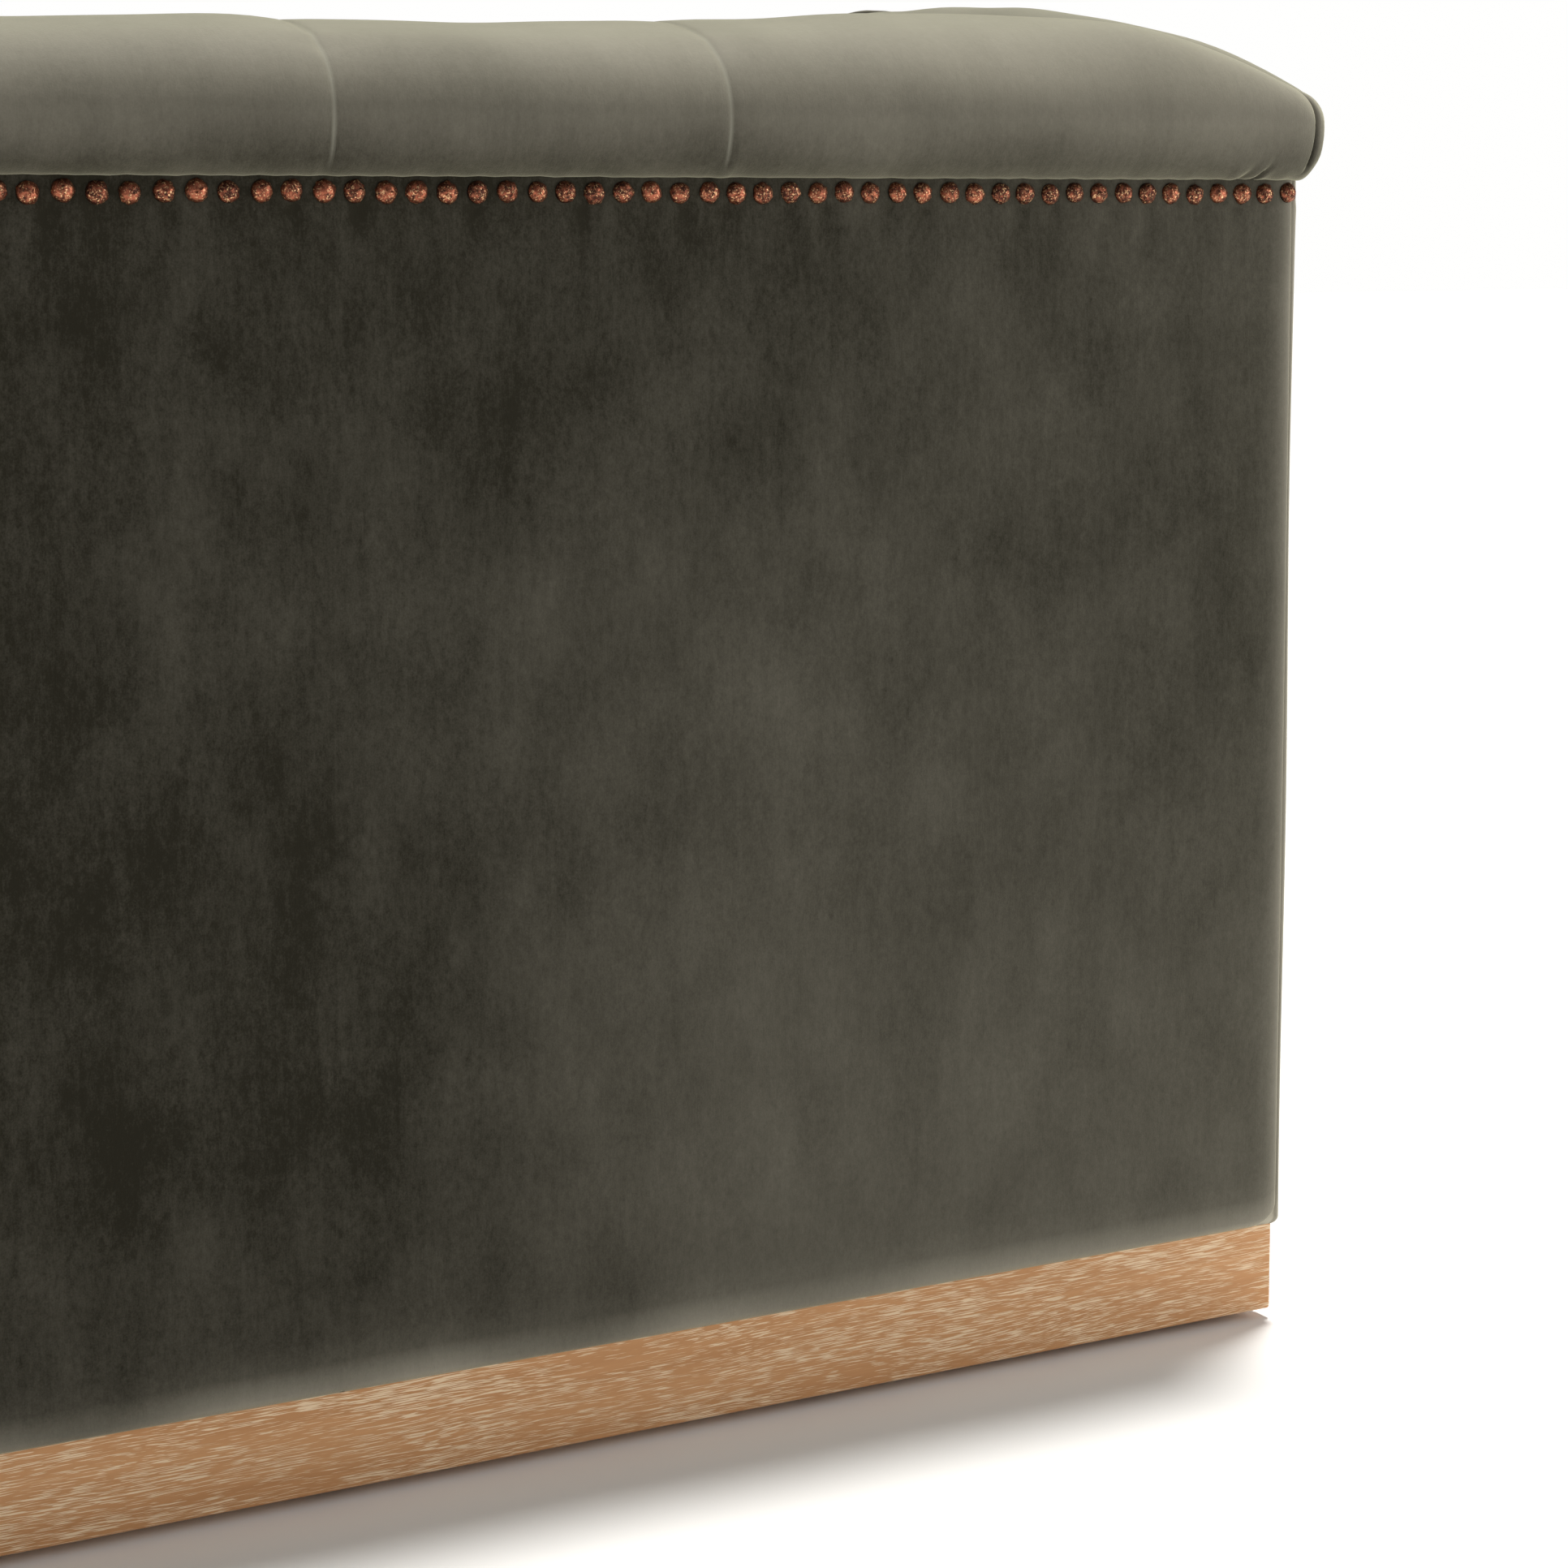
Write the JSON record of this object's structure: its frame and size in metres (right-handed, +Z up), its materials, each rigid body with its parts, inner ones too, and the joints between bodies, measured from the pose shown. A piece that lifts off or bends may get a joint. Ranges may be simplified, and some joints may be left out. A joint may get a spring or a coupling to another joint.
{
  "type": "upholstered headboard bed",
  "caption": "Velvet-upholstered bed with a rolled, winged headboard edged in domed nailheads, padded rails, a slatted deck and a low timber plinth.",
  "frame": {"origin": "on the floor under the middle of the bed: the middle of the footprint's box", "axes": "+Y along the bed towards the headboard, +X across it, +Z up"},
  "size_m": [2.064, 2.4, 1.298],
  "materials": {
    "velvet": "matte",
    "antique_copper": "satin",
    "cerused_oak": "matte",
    "frame_timber": "matte",
    "plywood": "matte",
    "hardboard": "matte",
    "foam": "matte",
    "zinc_steel": "satin",
    "glide_plastic": "matte"
  },
  "bodies": {
    "bed": {"back_board": "hardboard", "back_cover": "velvet", "back_rails": "frame_timber", "centre_beam": "frame_timber", "corner_brackets": "zinc_steel", "foot_pad": "velvet", "foot_rail": "frame_timber", "front_board": "plywood", "front_posts": "frame_timber", "front_rails": "frame_timber", "glides": "glide_plastic", "headboard_foam": "foam", "headboard_front_cover": "velvet", "nailheads_back": "antique_copper", "nailheads_wings": "antique_copper", "plinth_back": "cerused_oak", "plinth_blocks": "frame_timber", "plinth_foot": "cerused_oak", "plinth_side_left": "cerused_oak", "plinth_side_right": "cerused_oak", "plinth_wing_left": "cerused_oak", "plinth_wing_returns": "cerused_oak", "plinth_wing_right": "cerused_oak", "rail_bolts": "zinc_steel", "rail_pad_left": "velvet", "rail_pad_right": "velvet", "rear_posts": "frame_timber", "roll_cover_back": "velvet", "roll_cover_left": "velvet", "roll_cover_right": "velvet", "roll_foam_back": "foam", "roll_foam_left": "foam", "roll_foam_right": "foam", "roll_former_back": "frame_timber", "roll_former_left": "frame_timber", "roll_former_right": "frame_timber", "side_rail_left": "frame_timber", "side_rail_right": "frame_timber", "slat_ledgers": "frame_timber", "slats": "frame_timber", "spacer_blocks": "frame_timber", "support_legs": "frame_timber", "tuft_buttons": "velvet", "wing_facing_left": "velvet", "wing_facing_right": "velvet", "wing_foam_left": "foam", "wing_foam_right": "foam", "wing_inner_board_left": "plywood", "wing_inner_board_right": "plywood", "wing_inner_cover_left": "velvet", "wing_inner_cover_right": "velvet", "wing_inner_rails": "frame_timber", "wing_outer_boards": "hardboard", "wing_outer_cover_left": "velvet", "wing_outer_cover_right": "velvet", "wing_outer_rails": "frame_timber", "wing_posts": "frame_timber"},
    "leveller_foot_body": {"leveller_foot": "zinc_steel"},
    "leveller_head_body": {"leveller_head": "zinc_steel"},
    "leveller_middle_body": {"leveller_middle": "zinc_steel"}
  },
  "joints": [
    {"name": "leveller_foot_screw", "type": "slide", "parent": "bed", "child": "leveller_foot_body", "axis": [0, 0, -1], "range_m": [0, 0.015]},
    {"name": "leveller_head_screw", "type": "slide", "parent": "bed", "child": "leveller_head_body", "axis": [0, 0, -1], "range_m": [0, 0.015]},
    {"name": "leveller_middle_screw", "type": "slide", "parent": "bed", "child": "leveller_middle_body", "axis": [0, 0, -1], "range_m": [0, 0.015]}
  ]
}
